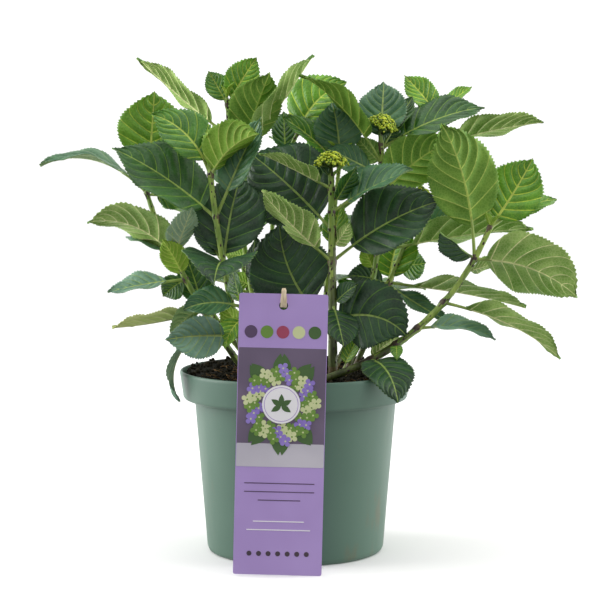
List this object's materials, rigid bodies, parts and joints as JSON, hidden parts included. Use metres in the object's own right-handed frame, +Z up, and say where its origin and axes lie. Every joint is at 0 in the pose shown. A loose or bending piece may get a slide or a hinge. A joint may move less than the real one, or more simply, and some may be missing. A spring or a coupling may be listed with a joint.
{
  "type": "hydrangea shrub",
  "caption": "Young hydrangea with broad opposite leaves and small green flower heads, growing in a round nursery pot with a plain card tag leaning on its front.",
  "frame": {"origin": "middle of the flat underside of the pot", "axes": "+Z up, +X to the plant's right as seen from the front, -Y to the front where the tag leans"},
  "size_m": [0.5302, 0.3249, 0.4932],
  "materials": {
    "pot": "matt sage green",
    "soil": "dark fibrous peat",
    "tag": "satin card",
    "strap": "satin cream",
    "cane": "green spotted bark",
    "foliage": "leafy"
  },
  "bodies": {
    "root": {"pot": "pot", "soil": "soil", "tag": "tag", "tag_strap": "strap", "cane_left_front": "cane", "foliage_left_front": "foliage", "cane_left_low": "cane", "foliage_left_low": "foliage", "cane_front_low": "cane", "foliage_front_low": "foliage", "cane_far_left": "cane", "foliage_far_left": "foliage", "cane_back_left": "cane", "foliage_back_left": "foliage", "cane_back_centre": "cane", "foliage_back_centre": "foliage", "cane_centre_back": "cane", "foliage_centre_back": "foliage", "cane_centre": "cane", "foliage_centre": "foliage", "cane_centre_right": "cane", "foliage_centre_right": "foliage", "cane_right_low": "cane", "foliage_right_low": "foliage", "cane_right_top": "cane", "foliage_right_top": "foliage", "cane_right_arch": "cane", "foliage_right_arch": "foliage", "cane_rear_left": "cane", "foliage_rear_left": "foliage", "cane_rear_centre": "cane", "foliage_rear_centre": "foliage", "cane_rear_right": "cane", "foliage_rear_right": "foliage"}
  },
  "joints": []
}
